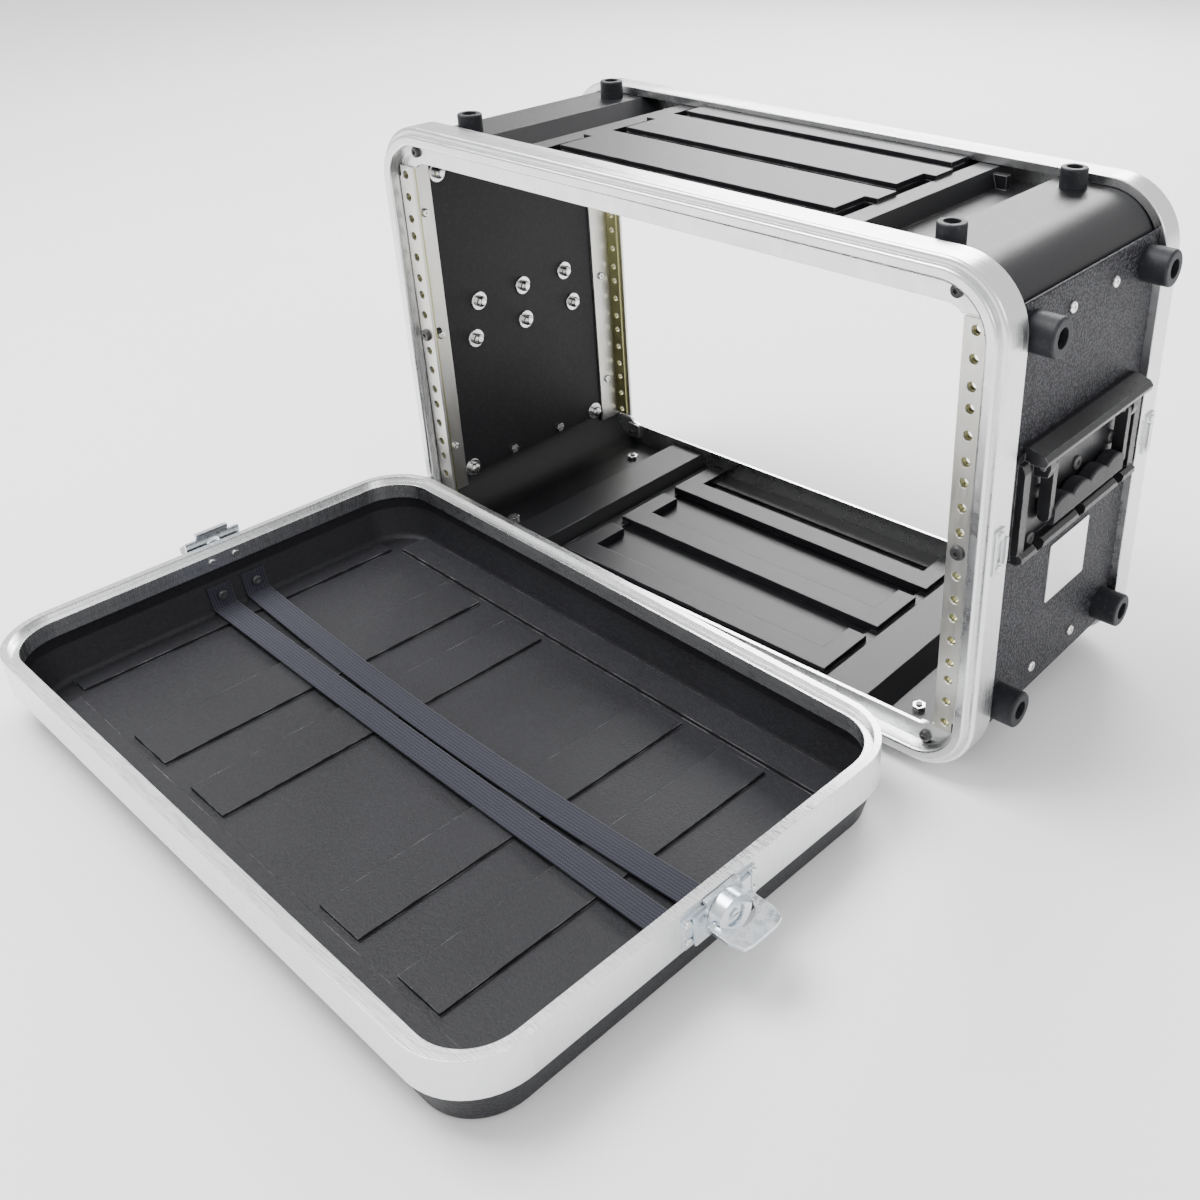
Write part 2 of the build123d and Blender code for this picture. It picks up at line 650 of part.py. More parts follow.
with BuildPart() as panel_nuts:
    with Locations(*side_seats(BOARD_X, PANEL_SCREWS, True)):
        add(panel_nut_model.part)
panel_nuts.part.label = "panel_nuts"
export_step(panel_nuts.part, "parts/panel_nuts.step")


# ======================= side handles =======================
def extrude_between(points, y0, y1, mode=Mode.ADD):
    """Solid between y0 and y1 of a closed outline drawn in X and Z."""
    with BuildSketch(front_plane(y0)) as outline:
        with BuildLine():
            Polyline(*points, close=True)
        make_face()
    extrude(outline.sketch, amount=-(y1 - y0), mode=mode)


with BuildPart() as handle_pan_right:
    with BuildSketch(side_plane(PANEL_X)):
        with Locations(((HANDLE_Y0 + HANDLE_Y1) / 2, (HANDLE_Z0 + HANDLE_Z1) / 2)):
            RectangleRounded(HANDLE_Y1 - HANDLE_Y0, HANDLE_Z1 - HANDLE_Z0, 8)
    extrude(amount=2.0)
    hood = ((0, 42.0), (0, 51.5), (4, 52.0), (14, 49.0), (16.5, 46.0), (15.5, 43.0), (13.5, 42.2))
    extrude_between([(PANEL_X + x, z) for x, z in hood], HANDLE_Y0 + 9, HANDLE_Y1 - 9)
    fillet(handle_pan_right.edges().filter_by(Axis.Y).group_by(Axis.X)[-1], 0.9)
    sill = ((0, -21.0), (0, -14.0), (7.5, -13.5), (10.0, -15.5), (10.0, -18.5), (6.5, -21.0))
    extrude_between([(PANEL_X + x, z) for x, z in sill], HANDLE_Y0 + 3, HANDLE_Y1 - 3)
    for y0, y1 in ((HANDLE_Y0 + 2, HANDLE_Y0 + 9), (HANDLE_Y1 - 9, HANDLE_Y1 - 2)):
        cheek = ((0, -16.0), (0, 44.0), (5.0, 43.0), (7.0, 38.0), (7.0, -14.0))
        extrude_between([(PANEL_X + x, z) for x, z in cheek], y0, y1)
    for y0, y1 in ((BAIL_Y0 - 6.6, BAIL_Y0 - 0.6), (BAIL_Y1 + 0.6, BAIL_Y1 + 6.6)):
        lug = ((1, 29.0), (1, 42.5), (12.5, 42.5), (13, 36.0), (11.5, 30.5))
        extrude_between([(PANEL_X + x, z) for x, z in lug], y0, y1)
    pin_plane = front_plane(BAIL_Y0 - 10)
    with BuildSketch(pin_plane):
        with Locations((PANEL_X + BAIL_PIVOT_OUT, BAIL_PIVOT_Z)):
            Circle(2.0)
    extrude(amount=-(BAIL_Y1 - BAIL_Y0 + 20), mode=Mode.SUBTRACT)
    with BuildSketch(side_plane(PANEL_X - 1)):
        with Locations(*HANDLE_BOLTS):
            Circle(2.6)
    extrude(amount=4.0, mode=Mode.SUBTRACT)
    with BuildSketch(side_plane(PANEL_X + 2)):
        with Locations(*HANDLE_BOLTS):
            Circle(5.0)
    extrude(amount=12.0, mode=Mode.SUBTRACT)
handle_pan_right.part.label = "handle_pan_right"
export_step(handle_pan_right.part, "parts/handle_pan_right.step")

with BuildPart() as handle_pan_left:
    add(handle_pan_right.part)
    mirror(about=Plane.YZ, mode=Mode.REPLACE)
handle_pan_left.part.label = "handle_pan_left"
export_step(handle_pan_left.part, "parts/handle_pan_left.step")

with BuildPart() as bail_pins:
    for side in (-1, 1):
        for y0, y1 in ((BAIL_Y0 - 6.6, BAIL_Y0 + 4.8), (BAIL_Y1 - 4.8, BAIL_Y1 + 6.6)):
            with BuildSketch(front_plane(y0)):
                with Locations((side * (PANEL_X + BAIL_PIVOT_OUT), BAIL_PIVOT_Z)):
                    Circle(2.0)
            extrude(amount=-(y1 - y0))
bail_pins.part.label = "bail_pins"
export_step(bail_pins.part, "parts/bail_pins.step")

GRIP_BAR_R = 3.2
with BuildPart() as handle_bail_right:
    for y0, y1 in ((BAIL_Y0, BAIL_Y0 + 4.5), (BAIL_Y1 - 4.5, BAIL_Y1)):
        with BuildSketch(front_plane(y0)):
            with Locations((PANEL_X + BAIL_PIVOT_OUT, (BAIL_PIVOT_Z + GRIP_Z) / 2)):
                SlotCenterToCenter(BAIL_PIVOT_Z - GRIP_Z, 8.0, rotation=90)
            with Locations((PANEL_X + BAIL_PIVOT_OUT, BAIL_PIVOT_Z)):
                Circle(2.05, mode=Mode.SUBTRACT)
        extrude(amount=-(y1 - y0))
    with BuildSketch(front_plane(BAIL_Y0 + 1)):
        with Locations((PANEL_X + BAIL_PIVOT_OUT, GRIP_Z)):
            Circle(GRIP_BAR_R)
    extrude(amount=-(BAIL_Y1 - BAIL_Y0 - 2))
handle_bail_right.part.label = "handle_bail_right"
export_step(handle_bail_right.part, "parts/handle_bail_right.step")

with BuildPart() as handle_bail_left:
    add(handle_bail_right.part)
    mirror(about=Plane.YZ, mode=Mode.REPLACE)
handle_bail_left.part.label = "handle_bail_left"
export_step(handle_bail_left.part, "parts/handle_bail_left.step")

GRIP_Y0 = BAIL_Y0 + 4.7
GRIP_Y1 = BAIL_Y1 - 4.7
with BuildPart() as handle_grip_right:
    with BuildSketch(side_plane(PANEL_X + 3.6)):
        with BuildLine():
            step = (GRIP_Y1 - GRIP_Y0) / 4
            Line((GRIP_Y0, 7.0), (GRIP_Y0, -5.0))
            Line((GRIP_Y0, -5.0), (GRIP_Y1, -5.0))
            Line((GRIP_Y1, -5.0), (GRIP_Y1, 7.0))
            for index in range(4):
                left = GRIP_Y0 + index * step
                ThreePointArc((left, 7.0), (left + step / 2, 10.5), (left + step, 7.0))
        make_face()
    extrude(amount=9.6)
    fillet(handle_grip_right.edges().filter_by(GeomType.CIRCLE), 1.6)
    fillet(handle_grip_right.edges().filter_by(Axis.Y), 2.4)
    with BuildSketch(front_plane(GRIP_Y0 - 1)):
        with Locations((PANEL_X + BAIL_PIVOT_OUT, GRIP_Z)):
            Circle(GRIP_BAR_R)
    extrude(amount=-(GRIP_Y1 - GRIP_Y0 + 2), mode=Mode.SUBTRACT)
handle_grip_right.part.label = "handle_grip_right"
export_step(handle_grip_right.part, "parts/handle_grip_right.step")

with BuildPart() as handle_grip_left:
    add(handle_grip_right.part)
    mirror(about=Plane.YZ, mode=Mode.REPLACE)
handle_grip_left.part.label = "handle_grip_left"
export_step(handle_grip_left.part, "parts/handle_grip_left.step")

with BuildPart() as label_plate:
    with BuildSketch(side_plane(PANEL_X)):
        with Locations((110.0, -57.0)):
            RectangleRounded(50, 42, 1.5)
    extrude(amount=0.8)
label_plate.part.label = "label_plate"
export_step(label_plate.part, "parts/label_plate.step")

# ======================= latch keepers on the valances =======================
with BuildPart(mode=Mode.PRIVATE) as keeper_model:
    with BuildSketch(side_plane(VAL_HALF_W)):
        with Locations((5.5, 0)):
            RectangleRounded(11, 29, 1.5)
            Rectangle(3.4, 14, mode=Mode.SUBTRACT)
        with Locations((5.5, 10.8), (5.5, -10.8)):
            Circle(1.6, mode=Mode.SUBTRACT)
    extrude(amount=1.4)
    add_box(VAL_HALF_W + 1.4, VAL_HALF_W + 3.6, 8.6, 10.8, -8.5, 8.5)

with BuildPart() as keepers_front:
    add(keeper_model.part)
    mirror(about=Plane.YZ)
keepers_front.part.label = "keepers_front"
export_step(keepers_front.part, "parts/keepers_front.step")

with BuildPart() as keepers_rear:
    add(keepers_front.part)
    mirror(about=front_plane(MID_Y), mode=Mode.REPLACE)
keepers_rear.part.label = "keepers_rear"
export_step(keepers_rear.part, "parts/keepers_rear.step")

with BuildPart(mode=Mode.PRIVATE) as rivet_model:
    with Locations((0, 0, 0.7)):
        Cylinder(2.6, 1.4)
    fillet(rivet_model.edges().sort_by(Axis.Z)[-1], 0.9)
    with Locations((0, 0, -1.95)):
        Cylinder(1.55, 3.9)

KEEPER_POINTS = [(y, z) for y in (5.5, REAR_FACE_Y - 5.5) for z in (-10.8, 10.8)]
with BuildPart() as keeper_rivets:
    with Locations(*side_seats(VAL_HALF_W + 1.4, KEEPER_POINTS, False)):
        add(rivet_model.part)
keeper_rivets.part.label = "keeper_rivets"
export_step(keeper_rivets.part, "parts/keeper_rivets.step")

# ======================= lid valance =======================
LID_FRONT = Plane(origin=LID.origin, x_dir=LID.x_dir, z_dir=LID.y_dir * -1)
RIVET_Z = -10.0
LATCH_RIVETS = ((-24.4, -7.0), (-24.4, 5.0), (24.4, -7.0), (24.4, 5.0))
with BuildPart(LID) as lid_valance:
    with BuildLine(LID) as lid_path:
        rounded_loop(VAL_HALF_W, VAL_HALF_H, VAL_CORNER_R)
    with BuildSketch(LID_FRONT) as lid_profile:
        with BuildLine():
            Polyline(
                (VAL_HALF_W, -LID_RING_H),
                (VAL_HALF_W, 0),
                (VAL_HALF_W - 4.4, 0),
                (VAL_HALF_W - 4.4, -4.0),
                (VAL_HALF_W - 10.0, -4.0),
                (VAL_HALF_W - 10.0, -10.4),
                (VAL_HALF_W - 9.7, -10.8),
                (VAL_HALF_W - 9.7, -16.0),
                (VAL_HALF_W - 8.2, -16.0),
                (VAL_HALF_W - 8.2, -6.0),
                (VAL_HALF_W - 2.5, -6.0),
                (VAL_HALF_W - 2.5, -LID_RING_H),
                close=True,
            )
        make_face()
        round_corner(lid_profile, VAL_HALF_W, 0, 2.2)
        round_corner(lid_profile, VAL_HALF_W - 4.4, 0, 1.2)
        round_corner(lid_profile, VAL_HALF_W - 10.0, -4.0, 1.0)
        round_corner(lid_profile, VAL_HALF_W, -LID_RING_H, 1.0)
    sweep(path=lid_path.wire())
    for side in (-1, 1):
        with BuildSketch(lid_side_plane(side, VAL_HALF_W + 1)):
            with Locations(*LATCH_RIVETS):
                Circle(1.6)
        extrude(amount=-5, mode=Mode.SUBTRACT)
    with BuildSketch(lid_side_plane(-1, VAL_HALF_W - 7)):
        with Locations((-9, LATCH_DROP + RIVET_Z), (9, LATCH_DROP + RIVET_Z)):
            Circle(1.6)
    extrude(amount=-4, mode=Mode.SUBTRACT)
lid_valance.part.label = "lid_valance"
export_step(lid_valance.part, "parts/lid_valance.step")

# joiner behind the inner flange at the seam, with its two rivets
with BuildPart(LID) as lid_joiner:
    with BuildSketch(lid_side_plane(-1, VAL_HALF_W - 8.2)):
        with Locations((0, LATCH_DROP - 11.2)):
            RectangleRounded(38, 9, 1)
        with Locations((-9, LATCH_DROP + RIVET_Z), (9, LATCH_DROP + RIVET_Z)):
            Circle(1.6, mode=Mode.SUBTRACT)
    extrude(amount=1.2)
lid_joiner.part.label = "lid_joiner"
export_step(lid_joiner.part, "parts/lid_joiner.step")

with BuildPart(mode=Mode.PRIVATE) as flat_rivet_model:
    with Locations((0, 0, -1.3)):
        Cylinder(1.55, 2.6)
    with Locations((0, 0, 0.5)):
        Cylinder(2.7, 1.0)
    fillet(flat_rivet_model.edges().sort_by(Axis.Z)[-1], 0.6)

with BuildPart() as lid_joiner_rivets:
    for along in (-9, 9):
        base = lid_side_plane(-1, VAL_HALF_W - 10.0)
        seat = Plane(
            origin=base.from_local_coords(Vector(along, LATCH_DROP + RIVET_Z, 0)), x_dir=base.x_dir, z_dir=base.z_dir * -1
        )
        with Locations(seat.location):
            add(flat_rivet_model.part)
lid_joiner_rivets.part.label = "lid_joiner_rivets"
export_step(lid_joiner_rivets.part, "parts/lid_joiner_rivets.step")

# ======================= lid shell =======================
LID_TOP_IN = 2.6
LID_SEAT_Z = -6.1
LID_STEP_Z = -LID_RING_H - 1
LID_FLOOR_Z = -LID_DEPTH + LID_WALL


def lid_level(z):
    """Horizontal plane at height z in the lid's own frame."""
    return Plane(origin=LID.from_local_coords(Vector(0, 0, z)), x_dir=LID.x_dir, z_dir=(0, 0, 1))


def lid_tray(inset, z_bottom, z_top, mode):
    """Straight wall down to the step, then a wall leaning inwards down to the bottom."""
    with BuildSketch(lid_level(LID_STEP_Z)) as step:
        RectangleRounded(2 * (VAL_HALF_W - inset), 2 * (VAL_HALF_H - inset), VAL_CORNER_R - inset)
    extrude(step.sketch, amount=z_top - LID_STEP_Z, mode=mode)
    low_in = inset + LID_TAPER_IN
    with BuildSketch(lid_level(z_bottom)) as low:
        RectangleRounded(2 * (VAL_HALF_W - low_in), 2 * (VAL_HALF_H - low_in), VAL_CORNER_R - low_in)
    loft([low.sketch.face(), step.sketch.face()], mode=mode)


with BuildPart(LID) as lid_shell:
    lid_tray(LID_TOP_IN, -LID_DEPTH, LID_SEAT_Z, Mode.ADD)
    fillet(lid_shell.faces().sort_by(Axis.Z)[0].edges(), 6)
    lid_tray(LID_TOP_IN + LID_WALL, LID_FLOOR_Z, LID_SEAT_Z + 1, Mode.SUBTRACT)
    floor_z = LID_RIM_Z + LID_FLOOR_Z
    fillet(lid_shell.faces().filter_by(Axis.Z).sort_by_distance((LID_X, LID_Y, floor_z))[0].edges(), 5)
    for x0, x1 in LID_BANDS:
        add_box(x0, x1, -121.5, 121.5, LID_FLOOR_Z - 1, LID_FLOOR_Z + 2.2)
        add_box(x0 + 2.5, x1 - 2.5, -119, 119, -LID_DEPTH - 1, -LID_DEPTH + 2.2, mode=Mode.SUBTRACT)
    for side in (-1, 1):
        add_box(-214, 214, side * 127, side * 149.5, LID_FLOOR_Z - 1, LID_FLOOR_Z + 3.2)
    for y in (-8.0, 19.0):
        with BuildSketch(Plane(origin=LID.from_local_coords(Vector(0, 0, 0)), x_dir=LID.y_dir, z_dir=LID.x_dir)):
            with Locations((y, -37.0)):
                Circle(1.6)
        extrude(amount=262, both=True, mode=Mode.SUBTRACT)
lid_shell.part.label = "lid_shell"
export_step(lid_shell.part, "parts/lid_shell.step")


# ======================= lid straps =======================
def strap_outline():
    """Side view of a strap: flat along the lid floor, turned up against both end walls."""
    return (
        (-242.4, -47.2),
        (242.4, -47.2),
        (247.0, -30.0),
        (245.2, -30.0),
        (240.8, -45.6),
        (-240.8, -45.6),
        (-245.2, -30.0),
        (-247.0, -30.0),
    )


def strap(y_mid):
    plane = Plane(origin=LID.from_local_coords(Vector(0, y_mid + 9.0, 0)), x_dir=LID.x_dir, z_dir=LID.y_dir * -1)
    with BuildSketch(plane) as outline:
        with BuildLine():
            Polyline(*strap_outline(), close=True)
        make_face()
    extrude(outline.sketch, amount=18)
    across = Plane(origin=LID.from_local_coords(Vector(0, y_mid, -37.0)), x_dir=LID.y_dir, z_dir=LID.x_dir)
    with BuildSketch(across) as hole:
        Circle(1.6)
    extrude(hole.sketch, amount=262, both=True, mode=Mode.SUBTRACT)


with BuildPart() as strap_near:
    strap(-8.0)
strap_near.part.label = "strap_near"
export_step(strap_near.part, "parts/strap_near.step")

with BuildPart() as strap_far:
    strap(19.0)
strap_far.part.label = "strap_far"
export_step(strap_far.part, "parts/strap_far.step")

with BuildPart(mode=Mode.PRIVATE) as strap_screw_model:
    pan_head(strap_screw_model, 3.6, 2.0, 1.3, 1.1)
    with Locations((0, 0, -2.7)):
        Cylinder(1.55, 5.4)

with BuildPart() as strap_screws:
    for side in (-1, 1):
        for y in (-8.0, 19.0):
            seat = Plane(
                origin=LID.from_local_coords(Vector(side * 242.15, y, -37.0)), x_dir=LID.y_dir, z_dir=LID.x_dir * -side
            )
            with Locations(seat.location):
                add(strap_screw_model.part)
strap_screws.part.label = "strap_screws"
export_step(strap_screws.part, "parts/strap_screws.step")


# ======================= twist latches =======================
BASE_T = 1.5
HOOK_OUT = VAL_HALF_W + BASE_T + 0.1
HOOK_T = 2.0
HEAD_OUT = HOOK_OUT + HOOK_T + 0.2
HEAD_T = 8.2
PIN_OUT = HEAD_OUT + 4.7
HEAD_R = 12.0


def latch_block(side, out0, out1, x0, x1, y0, y1, mode=Mode.ADD):
    with BuildSketch(lid_side_plane(side, out0)) as block:
        with Locations(((x0 + x1) / 2, (y0 + y1) / 2)):
            Rectangle(x1 - x0, y1 - y0)
    extrude(block.sketch, amount=out1 - out0, mode=mode)


def latch_base(side):
    with BuildSketch(lid_side_plane(side, VAL_HALF_W)) as plate:
        with Locations((0, -1.2)):
            RectangleRounded(55, 20.4, 2)
        Circle(5.05, mode=Mode.SUBTRACT)
        with Locations(*LATCH_RIVETS):
            Circle(1.6, mode=Mode.SUBTRACT)
    extrude(plate.sketch, amount=BASE_T)
    for way in (-1, 1):
        latch_block(side, VAL_HALF_W + BASE_T, HEAD_OUT, *sorted((way * 20.7, way * 21.7)), -10.4, 8.0)


def latch_hook(side, lift):
    with BuildSketch(lid_side_plane(side, HOOK_OUT)) as fork:
        with Locations((0, lift - 2.25)):
            Rectangle(41, 18.5)
        with Locations((0, lift + 9.25)):
            Rectangle(24, 5.5)
        with Locations((0, lift)):
            Circle(5.3, mode=Mode.SUBTRACT)
        with Locations((0, lift - 8)):
            Rectangle(10.6, 16, mode=Mode.SUBTRACT)
    extrude(fork.sketch, amount=HOOK_T)
    latch_block(side, VAL_HALF_W + 0.25, HOOK_OUT + 0.5, -12, 12, lift + 9.6, lift + 12)


def latch_hub(side):
    with BuildSketch(lid_side_plane(side, VAL_HALF_W + 0.05)) as stem:
        Circle(5.0)
    extrude(stem.sketch, amount=HEAD_OUT - VAL_HALF_W)
    with BuildSketch(lid_side_plane(side, HEAD_OUT)) as head:
        Circle(HEAD_R)
    extrude(head.sketch, amount=HEAD_T)
    with BuildSketch(lid_side_plane(side, HEAD_OUT + HEAD_T)) as dimple:
        Circle(6.5)
    extrude(dimple.sketch, amount=-1.4, taper=-20, mode=Mode.SUBTRACT)
    with BuildSketch(lid_side_plane(side, HEAD_OUT + HEAD_T - 1.6)) as slot:
        Circle(3.2)
        Rectangle(5.0, 1.2, mode=Mode.SUBTRACT)
    extrude(slot.sketch, amount=1.2)
    frame = lid_side_plane(side, PIN_OUT)
    across = Plane(origin=frame.origin, x_dir=frame.y_dir, z_dir=frame.x_dir)
    with BuildSketch(across) as bore:
        Circle(1.56)
    extrude(bore.sketch, amount=16, both=True, mode=Mode.SUBTRACT)


def latch_wing(side):
    frame = lid_side_plane(side, 0)
    flat = Plane(origin=frame.origin, x_dir=frame.x_dir, z_dir=frame.y_dir * -1)
    with BuildSketch(flat) as plate:
        with BuildLine():
            Polyline(
                (-16.6, PIN_OUT - 2.4),
                (16.6, PIN_OUT - 2.4),
                (16.6, 276),
                (14.0, 284.5),
                (9.0, 286),
                (-9.0, 286),
                (-14.0, 284.5),
                (-16.6, 276),
                close=True,
            )
        make_face()
        with Locations((0, PIN_OUT)):
            Circle(HEAD_R + 0.6, mode=Mode.SUBTRACT)
            Rectangle(2 * HEAD_R + 1.2, 9.0, mode=Mode.SUBTRACT)
    extrude(plate.sketch, amount=1.1, both=True)
    pin_frame = lid_side_plane(side, PIN_OUT)
    across = Plane(origin=pin_frame.origin, x_dir=pin_frame.y_dir, z_dir=pin_frame.x_dir)
    with BuildSketch(across) as pin:
        Circle(1.5)
    extrude(pin.sketch, amount=16.6, both=True)
    with BuildSketch(across.offset(13.0)) as ear:
        Circle(2.4)
    extrude(ear.sketch, amount=3.6)
    with BuildSketch(across.offset(-16.6)) as ear:
        Circle(2.4)
    extrude(ear.sketch, amount=3.6)


with BuildPart() as latch_base_right:
    latch_base(1)
latch_base_right.part.label = "latch_base_right"
export_step(latch_base_right.part, "parts/latch_base_right.step")

with BuildPart() as latch_base_left:
    latch_base(-1)
latch_base_left.part.label = "latch_base_left"
export_step(latch_base_left.part, "parts/latch_base_left.step")

with BuildPart() as latch_hook_right:
    latch_hook(1, 0)
latch_hook_right.part.label = "latch_hook_right"
export_step(latch_hook_right.part, "parts/latch_hook_right.step")

with BuildPart() as latch_hook_left:
    latch_hook(-1, LATCH_STROKE)
latch_hook_left.part.label = "latch_hook_left"
export_step(latch_hook_left.part, "parts/latch_hook_left.step")

with BuildPart() as latch_hub_right:
    latch_hub(1)
latch_hub_right.part.label = "latch_hub_right"
export_step(latch_hub_right.part, "parts/latch_hub_right.step")

with BuildPart() as latch_hub_left:
    latch_hub(-1)
latch_hub_left.part.label = "latch_hub_left"
export_step(latch_hub_left.part, "parts/latch_hub_left.step")

with BuildPart() as latch_wing_right:
    latch_wing(1)
latch_wing_right.part.label = "latch_wing_right"
export_step(latch_wing_right.part, "parts/latch_wing_right.step")

with BuildPart() as latch_wing_left:
    latch_wing(-1)
latch_wing_left.part.label = "latch_wing_left"
export_step(latch_wing_left.part, "parts/latch_wing_left.step")

with BuildPart() as latch_rivets:
    for side in (-1, 1):
        for along, up in LATCH_RIVETS:
            base = lid_side_plane(side, VAL_HALF_W + BASE_T)
            seat = Plane(origin=base.from_local_coords(Vector(along, up, 0)), x_dir=base.x_dir, z_dir=base.z_dir)
            with Locations(seat.location):
                add(rivet_model.part)
latch_rivets.part.label = "latch_rivets"
export_step(latch_rivets.part, "parts/latch_rivets.step")
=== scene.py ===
import json
import math

import bmesh
import bpy
from mathutils import Matrix, Vector

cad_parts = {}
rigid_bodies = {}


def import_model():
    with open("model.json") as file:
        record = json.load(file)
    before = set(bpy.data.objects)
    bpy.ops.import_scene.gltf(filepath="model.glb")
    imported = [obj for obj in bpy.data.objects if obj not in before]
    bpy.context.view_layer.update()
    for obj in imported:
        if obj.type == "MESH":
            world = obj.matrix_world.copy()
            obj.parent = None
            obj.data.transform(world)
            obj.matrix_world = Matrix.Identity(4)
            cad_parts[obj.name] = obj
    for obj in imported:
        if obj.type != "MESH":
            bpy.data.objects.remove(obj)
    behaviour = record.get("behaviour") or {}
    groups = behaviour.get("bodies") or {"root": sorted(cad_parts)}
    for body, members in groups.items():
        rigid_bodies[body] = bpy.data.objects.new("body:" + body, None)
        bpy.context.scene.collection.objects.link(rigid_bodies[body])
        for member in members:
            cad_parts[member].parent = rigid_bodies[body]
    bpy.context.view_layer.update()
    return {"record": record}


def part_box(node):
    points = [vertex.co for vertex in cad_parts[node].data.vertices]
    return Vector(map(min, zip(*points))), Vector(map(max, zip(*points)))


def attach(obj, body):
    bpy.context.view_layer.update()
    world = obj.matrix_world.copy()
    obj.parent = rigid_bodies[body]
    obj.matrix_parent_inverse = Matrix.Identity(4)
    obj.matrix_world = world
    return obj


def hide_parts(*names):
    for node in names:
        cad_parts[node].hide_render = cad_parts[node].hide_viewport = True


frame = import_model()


# ---------------------------------------------------------------- materials
class Tree:
    """Small helper around one node material."""

    def __init__(self, name):
        self.mat = bpy.data.materials.new(name)
        self.mat.use_nodes = True
        self.nodes = self.mat.node_tree.nodes
        self.links = self.mat.node_tree.links
        self.bsdf = self.nodes["Principled BSDF"]
        self.coord = self.nodes.new("ShaderNodeTexCoord").outputs["Object"]

    def link(self, a, b):
        self.links.new(a, b)

    def set(self, **values):
        for key, value in values.items():
            name = key.replace("_", " ")
            self.bsdf.inputs[name].default_value = value

    def mapping(self, scale=(1, 1, 1), rotation=(0, 0, 0), source=None):
        n = self.nodes.new("ShaderNodeMapping")
        n.inputs["Scale"].default_value = scale
        n.inputs["Rotation"].default_value = rotation
        self.link(source or self.coord, n.inputs["Vector"])
        return n.outputs["Vector"]

    def noise(self, scale, detail=4.0, rough=0.55, vector=None, distortion=0.0):
        n = self.nodes.new("ShaderNodeTexNoise")
        n.inputs["Scale"].default_value = scale
        n.inputs["Detail"].default_value = detail
        n.inputs["Roughness"].default_value = rough
        n.inputs["Distortion"].default_value = distortion
        self.link(vector or self.coord, n.inputs["Vector"])
        return n.outputs["Fac"]

    def voronoi(self, scale, feature="F1", vector=None, smooth=None):
        n = self.nodes.new("ShaderNodeTexVoronoi")
        n.feature = feature
        n.inputs["Scale"].default_value = scale
        if smooth is not None:
            n.inputs["Smoothness"].default_value = smooth
        self.link(vector or self.coord, n.inputs["Vector"])
        return n.outputs["Distance"]

    def ramp(self, fac, stops):
        n = self.nodes.new("ShaderNodeValToRGB")
        cr = n.color_ramp
        while len(cr.elements) < len(stops):
            cr.elements.new(0.5)
        for e, (pos, col) in zip(cr.elements, stops):
            e.position = pos
            e.color = (*col, 1) if len(col) == 3 else col
        self.link(fac, n.inputs["Fac"])
        return n.outputs["Color"]

    def value(self, fac, lo, hi, from_lo=0.0, from_hi=1.0):
        n = self.nodes.new("ShaderNodeMapRange")
        n.inputs["From Min"].default_value = from_lo
        n.inputs["From Max"].default_value = from_hi
        n.inputs["To Min"].default_value = lo
        n.inputs["To Max"].default_value = hi
        self.link(fac, n.inputs["Value"])
        return n.outputs["Result"]

    def math(self, op, a, b):
        n = self.nodes.new("ShaderNodeMath")
        n.operation = op
        for i, v in enumerate((a, b)):
            if isinstance(v, (int, float)):
                n.inputs[i].default_value = v
            else:
                self.link(v, n.inputs[i])
        return n.outputs["Value"]

    def mix(self, fac, a, b, blend="MIX"):
        n = self.nodes.new("ShaderNodeMix")
        n.data_type = "RGBA"
        n.blend_type = blend
        for i, v in ((0, fac), (6, a), (7, b)):
            if isinstance(v, (int, float)):
                n.inputs[i].default_value = v
            elif isinstance(v, tuple):
                n.inputs[i].default_value = (*v, 1)
            else:
                self.link(v, n.inputs[i])
        return n.outputs[2]

    def bump(self, height, strength=0.3, distance=0.0005, normal=None):
        n = self.nodes.new("ShaderNodeBump")
        n.inputs["Strength"].default_value = strength
        n.inputs["Distance"].default_value = distance
        self.link(height, n.inputs["Height"])
        if normal is not None:
            self.link(normal, n.inputs["Normal"])
        self.link(n.outputs["Normal"], self.bsdf.inputs["Normal"])
        return n.outputs["Normal"]

    def edge_light(self, radius=0.0008):
        """0 on flat faces, towards 1 on sharp edges: the difference a bevelled normal makes."""
        bev = self.nodes.new("ShaderNodeBevel")
        bev.samples = 4
        bev.inputs["Radius"].default_value = radius
        geo = self.nodes.new("ShaderNodeNewGeometry")
        dot = self.nodes.new("ShaderNodeVectorMath")
        dot.operation = "DOT_PRODUCT"
        self.link(bev.outputs["Normal"], dot.inputs[0])
        self.link(geo.outputs["Normal"], dot.inputs[1])
        return self.value(dot.outputs["Value"], 1.0, 0.0, 0.72, 0.995), bev.outputs["Normal"]

    def crevice_shade(self, distance):
        """Towards 1 deep in a groove or crevice, where painted shade darkens the colour."""
        n = self.nodes.new("ShaderNodeAmbientOcclusion")
        n.samples = 16
        n.inputs["Distance"].default_value = distance
        return self.value(n.outputs["AO"], 0.8, 0.0, 0.20, 0.55)

    def to(self, socket, value):
        self.link(value, self.bsdf.inputs[socket])


